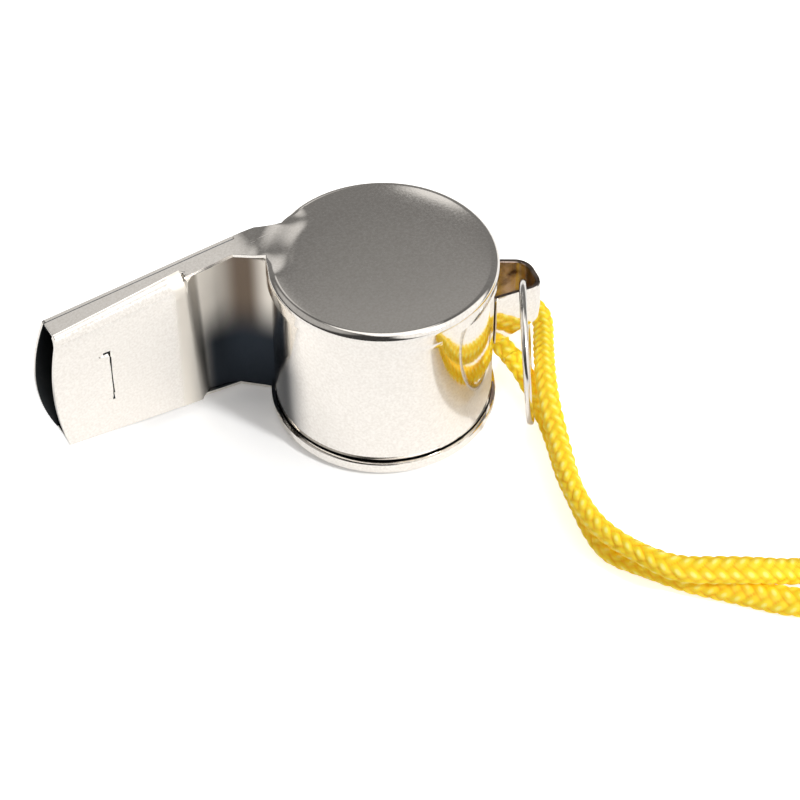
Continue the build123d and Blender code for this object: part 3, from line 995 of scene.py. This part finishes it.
def braided_piece(name, line, along, wide, thick):
    """A closed braided tube on a line, with its yarns' height and place as attributes for its material."""
    rings, height, across = cord_rings(line, along, wide, thick)
    count, around = rings.shape[:2]
    ends = np.stack([line[0], line[-1]])
    points = np.concatenate([rings.reshape(-1, 3), ends])
    here = np.arange(around)
    after = (here + 1) % around
    final = (count - 1) * around
    first = np.stack([after, here, np.full(around, count * around)], 1)
    last = np.stack([final + here, final + after, np.full(around, count * around + 1)], 1)
    mesh = bpy.data.meshes.new(name)
    faces = quads(count, around, wrap_cols=True)[:, ::-1].tolist() + first.tolist() + last.tolist()
    mesh.from_pydata((points * MM).tolist(), [], faces)
    mesh.materials.append(cord_yellow)
    for label, values in (("yarn_height", height), ("yarn_across", across)):
        layer = mesh.attributes.new(label, "FLOAT", "POINT")
        layer.data.foreach_set("value", np.r_[values.ravel(), 0, 0].astype(np.float32))
    mesh.shade_smooth()
    piece = bpy.data.objects.new(name, mesh)
    bpy.context.scene.collection.objects.link(piece)
    return piece


inner_nodes = ("lanyard_bight", "lanyard_inner_strand", "lanyard_coil_lower")
outer_nodes = ("lanyard_bight", "lanyard_outer_strand", "lanyard_coil_upper")
rising = ("whistle", "ring", (0.0105, -0.0150, 0.003), (0.00865, -0.00945, 0.003))
settling = ("ring", "whistle", (0.0132, -0.0056, 0.003), (0.01548, 0.0010, 0.003))
stretches = (
    ("lanyard_inner_cord", slice(from_ring, None, -1), inner_nodes, rising),
    ("lanyard_outer_cord", slice(to_ring, None), outer_nodes, rising),
    ("lanyard_bight_cord", slice(from_ring, to_ring + 1), ("lanyard_bight",), settling),
)
spread_from, spread_over = -31.5, 5
wound_from, wound_over, wound_squeeze = 34, 6, 0.5
cords = []
for name, stretch, nodes, (body, other, start, end) in stretches:
    line, along = whole_line[stretch], whole_at[stretch]
    spread = smooth_step((spread_from - line[:, 1:2]) / spread_over)
    wound = smooth_step((line[:, :1] - wound_from) / wound_over)
    wide = half_wide + (half_wide_on_table - half_wide) * spread * (1 - wound_squeeze * wound)
    cord = braided_piece(name, line, along, wide, half_thick)
    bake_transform(cord)
    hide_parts(*nodes)
    cords.append((cord, line))

# Knot: both ends of the cord drawn up tight in wraps of their own, in the middle of the coil, with the cut
# ends left short.
knot_wraps = 2.4
knot_length = 3.4
knot_radius = 1.5
knot_half_wide = 1.0
knot_half_thick = 0.95
knot_low, knot_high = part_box("lanyard_knot")
knot_middle = np.array((knot_low + knot_high) / 2) / MM
knot_way = cords[0][1][-1] - cords[0][1][-8]
knot_way /= np.linalg.norm(knot_way)
knot_side = np.cross(upward, knot_way)
wrap = np.linspace(0, 1, 140)
wrap_turn = 2 * math.pi * knot_wraps * wrap
wrap_line = (
    knot_middle
    + knot_way * ((wrap - 0.5) * knot_length)[:, None]
    + (knot_side * np.cos(wrap_turn)[:, None] + upward * np.sin(wrap_turn)[:, None]) * knot_radius
)
knot_line, knot_at = evenly(wrap_line, section_spacing)
knot = braided_piece("lanyard_knot_wraps", knot_line, knot_at, knot_half_wide, knot_half_thick)
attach(knot, "whistle")
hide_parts("lanyard_knot")

# Band: a flat loop of black woven elastic, slipped round all the turns of both layers on the side away
# from the whistle. It holds the wound cord together by its own pull.
band_sheet = 0.3
band_width = 3.0
band_round = 1.1
band_gap = 0.1
rib_rise = 0.05
rib_count = 8
bundle_out = coil_outer_turn + cord_diameter / 2 + band_gap
bundle_in = coil_outer_turn - (coil_turns - 1) * turn_step - cord_diameter / 2 - band_gap
bundle_low = 0.4
bundle_high = upper_layer + cord_diameter / 2 + band_gap
coil_centre = coil_entry + coil_side * coil_outer_turn


def band_loop(offset):
    """A rounded rectangle about the wound turns, grown by an offset: place along coil_way, and height."""
    wide = (bundle_out - bundle_in) / 2 - band_round
    tall = (bundle_high - bundle_low) / 2 - band_round
    turn = np.radians(np.arange(0, 360, 3))
    level, rise = np.sign(np.cos(turn + 1e-6)), np.sign(np.sin(turn + 1e-6))
    reach = band_round + offset
    return np.stack([level * wide + reach * np.cos(turn), rise * tall + reach * np.sin(turn)], 1)


def band_grid(offset):
    """One face of the band, with low ribs along it from the rubber threads in the weave."""
    across = np.linspace(-0.5, 0.5, 33)
    ribs = rib_rise * np.abs(np.sin(across * math.pi * rib_count)) * (offset > 0)
    grown = np.stack([band_loop(offset + rib) for rib in ribs], 1)
    middle = coil_centre + coil_way * (bundle_out + bundle_in) / 2 + upward * (bundle_low + bundle_high) / 2
    wide = coil_side * (across * band_width)[None, :, None]
    return middle + coil_way * grown[..., :1] + upward * grown[..., 1:] + wide


def black_elastic():
    """Woven elastic: black polyester over rubber threads, matt, with a fine mottle from the weave."""
    weave_size = 0.3 * MM
    material, tree, shader = new_material("black_woven_elastic")
    place = add(tree, "ShaderNodeTexCoord").outputs["Object"]
    weave = add(tree, "ShaderNodeTexNoise", {"Scale": 1 / weave_size, "Detail": 2.0}, Vector=place)
    tint = add(tree, "ShaderNodeValToRGB", None, Fac=weave.outputs["Fac"])
    tint.color_ramp.elements[0].color = linear("#141414")
    tint.color_ramp.elements[1].color = linear("#2E2E30")
    tree.links.new(tint.outputs["Color"], shader.inputs["Base Color"])
    shader.inputs["Roughness"].default_value = 0.75
    return material


band_points = np.concatenate([band_grid(band_sheet - rib_rise), band_grid(0.0)[:, ::-1]], 1)
band_faces = quads(*band_points.shape[:2], True, True)
band = make_piece("lanyard_coil_elastic", band_points.reshape(-1, 3), band_faces, [black_elastic()])
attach(band, "whistle")
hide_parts("lanyard_coil_band")

# Table: a matt white table top. It glows a little to the camera and in the metal's reflections, so that it
# looks white, and less so round the barrel and the throat, where it keeps the whistle's shadow.
table_reach = 3.0
table_drop = 2e-5
shadow_middle = (-9 * MM, 3 * MM, 0)
shadow_reach, shadow_end = 13 * MM, 20 * MM
glow_in_shadow, glow_beyond, glow_in_metal = 0.18, 0.68, 0.13
table_mesh = bpy.data.meshes.new("table_top")
corner_signs = ((-1, -1), (1, -1), (1, 1), (-1, 1))
table_corners = [(a * table_reach, b * table_reach, -table_drop) for a, b in corner_signs]
table_mesh.from_pydata(table_corners, [], [(0, 1, 2, 3)])
table = bpy.data.objects.new("table_top", table_mesh)
bpy.context.scene.collection.objects.link(table)
white, white_tree, white_shader = new_material("white_table_top")
white_shader.inputs["Base Color"].default_value = linear("#F8F8F8")
white_shader.inputs["Roughness"].default_value = 0.9
white_shader.inputs["Specular IOR Level"].default_value = 0.0
table_ray = add(white_tree, "ShaderNodeLightPath")
table_place = add(white_tree, "ShaderNodeTexCoord").outputs["Object"]
away = add(white_tree, "ShaderNodeVectorMath", {"operation": "DISTANCE"}, _0=table_place)
away.inputs[1].default_value = shadow_middle
beyond = add(
    white_tree,
    "ShaderNodeMapRange",
    {
        "From Min": shadow_reach,
        "From Max": shadow_end,
        "To Min": glow_in_shadow,
        "To Max": glow_beyond,
        "interpolation_type": "SMOOTHSTEP",
    },
    Value=away.outputs["Value"],
)
to_camera = add(
    white_tree,
    "ShaderNodeMath",
    {"operation": "MULTIPLY"},
    _0=table_ray.outputs["Is Camera Ray"],
    _1=beyond.outputs["Result"],
)
table_glow = add(
    white_tree,
    "ShaderNodeMath",
    {"operation": "MULTIPLY_ADD"},
    _0=table_ray.outputs["Is Glossy Ray"],
    _2=to_camera.outputs["Value"],
)
table_glow.inputs[1].default_value = glow_in_metal
white_tree.links.new(table_glow.outputs["Value"], white_shader.inputs["Emission Strength"])
white_shader.inputs["Emission Color"].default_value = (1, 1, 1, 1)
table_mesh.materials.append(white)

# Light: a lamp at the front right with a large soft panel round it, in a grey room that is darker on the
# camera's side, with pale patches on its walls and a lit ceiling. The camera sees white past the table.
lamp = bpy.data.lights.new("front_lamp", "SUN")
lamp.energy = 1.75
lamp.angle = math.radians(6.0)
lamp_object = bpy.data.objects.new("front_lamp", lamp)
bpy.context.scene.collection.objects.link(lamp_object)
lamp_way = np.array([0.3047, -0.6382, 0.7071])
lamp_tilt = math.atan2(math.hypot(*lamp_way[:2]), lamp_way[2])
lamp_object.rotation_euler = (lamp_tilt, 0, math.atan2(lamp_way[0], -lamp_way[1]))
world = bpy.data.worlds.new("grey_room")
bpy.context.scene.world = world
world.use_nodes = True
room = world.node_tree
room.nodes.clear()
direction = add(room, "ShaderNodeTexCoord").outputs["Generated"]
room_glow = None
# Each patch: its bearing from +Y, its elevation and the angles off its middle at which it ends and is full,
# in degrees, then the glow past its end and in its middle.
for bearing, elevation, ends_at, full_at, low, high in (
    (-140.0, 20.0, 120.0, 70.0, 0.205, 0.05),
    (13.5, 46.5, 8.0, 1.0, 0.0, 0.50),
    (18.5, 30.0, 9.0, 1.0, 0.0, 0.50),
    (33.4, 37.0, 2.4, 0.8, 0.0, 0.75),
    (33.0, 50.0, 10.0, 3.0, 0.0, 0.12),
    (-65.0, 45.0, 38.0, 22.0, 0.0, 0.40),
    (150.0, 79.0, 20.0, 13.0, 0.0, 0.95),
    (30.0, 77.0, 18.0, 11.0, 0.0, 1.20),
    (146.0, 33.0, 46.0, 35.0, 0.0, 1.05),
):
    turn_to, lift_to = math.radians(bearing), math.radians(elevation)
    level = math.cos(lift_to)
    patch_way = (math.sin(turn_to) * level, math.cos(turn_to) * level, math.sin(lift_to))
    toward = add(room, "ShaderNodeVectorMath", {"operation": "DOT_PRODUCT"}, _0=direction)
    toward.inputs[1].default_value = patch_way
    glow = add(
        room,
        "ShaderNodeMapRange",
        {
            "From Min": math.cos(math.radians(ends_at)),
            "From Max": math.cos(math.radians(full_at)),
            "To Min": low,
            "To Max": high,
            "interpolation_type": "SMOOTHSTEP",
        },
        Value=toward.outputs["Value"],
    ).outputs["Result"]
    if room_glow:
        glow = add(room, "ShaderNodeMath", {"operation": "ADD"}, _0=room_glow, _1=glow).outputs["Value"]
    room_glow = glow
grey_walls = add(room, "ShaderNodeBackground", {"Color": (1.0, 0.985, 0.97, 1)}, Strength=room_glow)
backdrop = add(room, "ShaderNodeBackground", {"Color": (1, 1, 1, 1), "Strength": 1.0})
room_ray = add(room, "ShaderNodeLightPath")
seen_room = add(
    room,
    "ShaderNodeMixShader",
    None,
    Fac=room_ray.outputs["Is Camera Ray"],
    _1=grey_walls.outputs[0],
    _2=backdrop.outputs[0],
)
add(room, "ShaderNodeOutputWorld", None, Surface=seen_room.outputs[0])
bpy.context.scene.view_settings.view_transform = "Standard"

# Camera: a long lens that looks down on the whistle from the front left, placed so that the disc, the base
# and the mouthpiece lie as in the photograph.
camera_azimuth = math.radians(-30.55)
camera_elevation = math.radians(45.69)
camera_distance = 253.9
camera_target = np.array([1.404, -0.829, -0.76])
back = np.array([
    math.sin(camera_azimuth) * math.cos(camera_elevation),
    -math.cos(camera_azimuth) * math.cos(camera_elevation),
    math.sin(camera_elevation),
])
camera_data = bpy.data.cameras.new("camera")
camera_data.lens = 115.425
camera_data.sensor_width = 36.0
camera_data.clip_start = 0.01
camera = bpy.data.objects.new("camera", camera_data)
bpy.context.scene.collection.objects.link(camera)
camera.location = (camera_target + back * camera_distance) * MM
camera.rotation_euler = (math.pi / 2 - camera_elevation, 0, camera_azimuth)
bpy.context.scene.camera = camera
